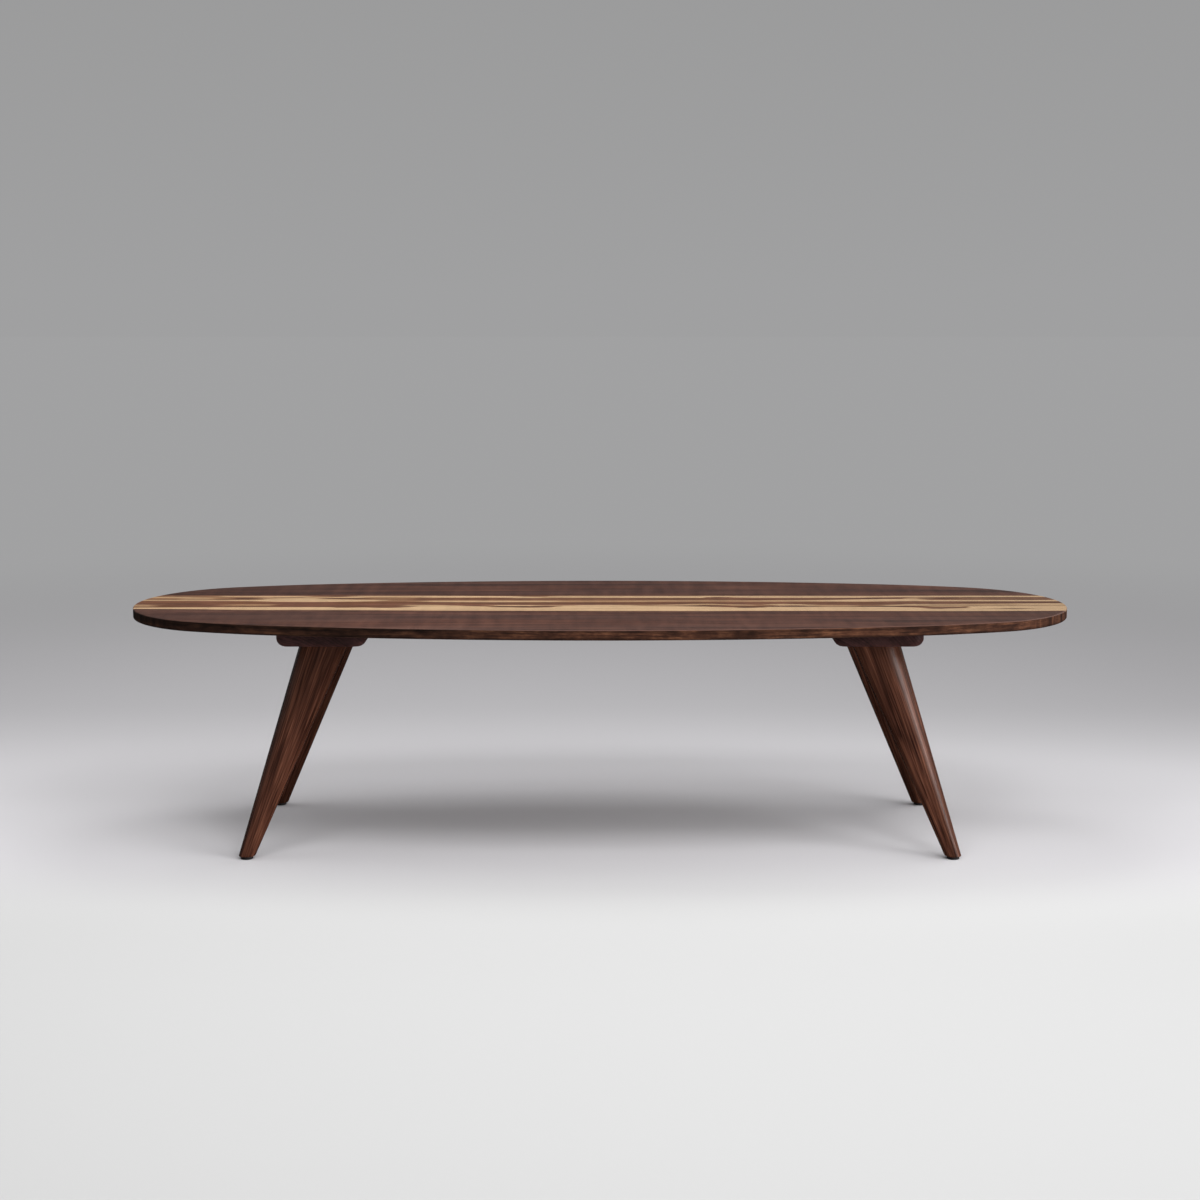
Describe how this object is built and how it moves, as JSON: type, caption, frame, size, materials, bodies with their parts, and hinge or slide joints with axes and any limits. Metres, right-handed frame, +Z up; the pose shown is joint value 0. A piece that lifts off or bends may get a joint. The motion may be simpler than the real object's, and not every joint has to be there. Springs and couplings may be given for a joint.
{
  "type": "coffee table",
  "caption": "Low oval coffee table in solid walnut with a pale sapwood band along the top, carried by splayed round tapered legs on rounded cross battens.",
  "frame": {"origin": "floor plane under the middle of the top", "axes": "+Z up, +X along the length of the top, -Y towards the front long side"},
  "size_m": [1.6, 0.5546, 0.402],
  "materials": {
    "walnut_top": "dark walnut, satin oil-varnish, fine straight grain along the length",
    "walnut_sapwood": "walnut with pale sapwood streaks along the length, satin oil-varnish",
    "walnut_batten": "very dark walnut, satin, grain along the batten",
    "walnut_leg": "dark reddish-brown walnut, satin, grain along the leg",
    "beech_dowel": "plain turned beech",
    "zinc_steel": "bright zinc plated",
    "insert_brass": "machined brass",
    "dark_nylon": "near-black moulded nylon"
  },
  "bodies": {
    "root": {"top_board_front": "walnut_top", "top_board_center": "walnut_sapwood", "top_board_rear": "walnut_top", "edge_dowels_front_joint": "beech_dowel", "edge_dowels_rear_joint": "beech_dowel", "batten_left": "walnut_batten", "batten_right": "walnut_batten", "batten_screws_left": "zinc_steel", "batten_screws_right": "zinc_steel", "batten_washers_left": "zinc_steel", "batten_washers_right": "zinc_steel", "leg_front_left": "walnut_leg", "leg_front_right": "walnut_leg", "leg_rear_left": "walnut_leg", "leg_rear_right": "walnut_leg", "leg_bolts": "zinc_steel", "leg_bolt_washers": "zinc_steel", "leg_threaded_inserts": "insert_brass", "leg_locating_dowels": "beech_dowel", "foot_glide_front_left": "dark_nylon", "foot_glide_front_right": "dark_nylon", "foot_glide_rear_left": "dark_nylon", "foot_glide_rear_right": "dark_nylon", "foot_glide_nails": "zinc_steel"}
  },
  "joints": []
}
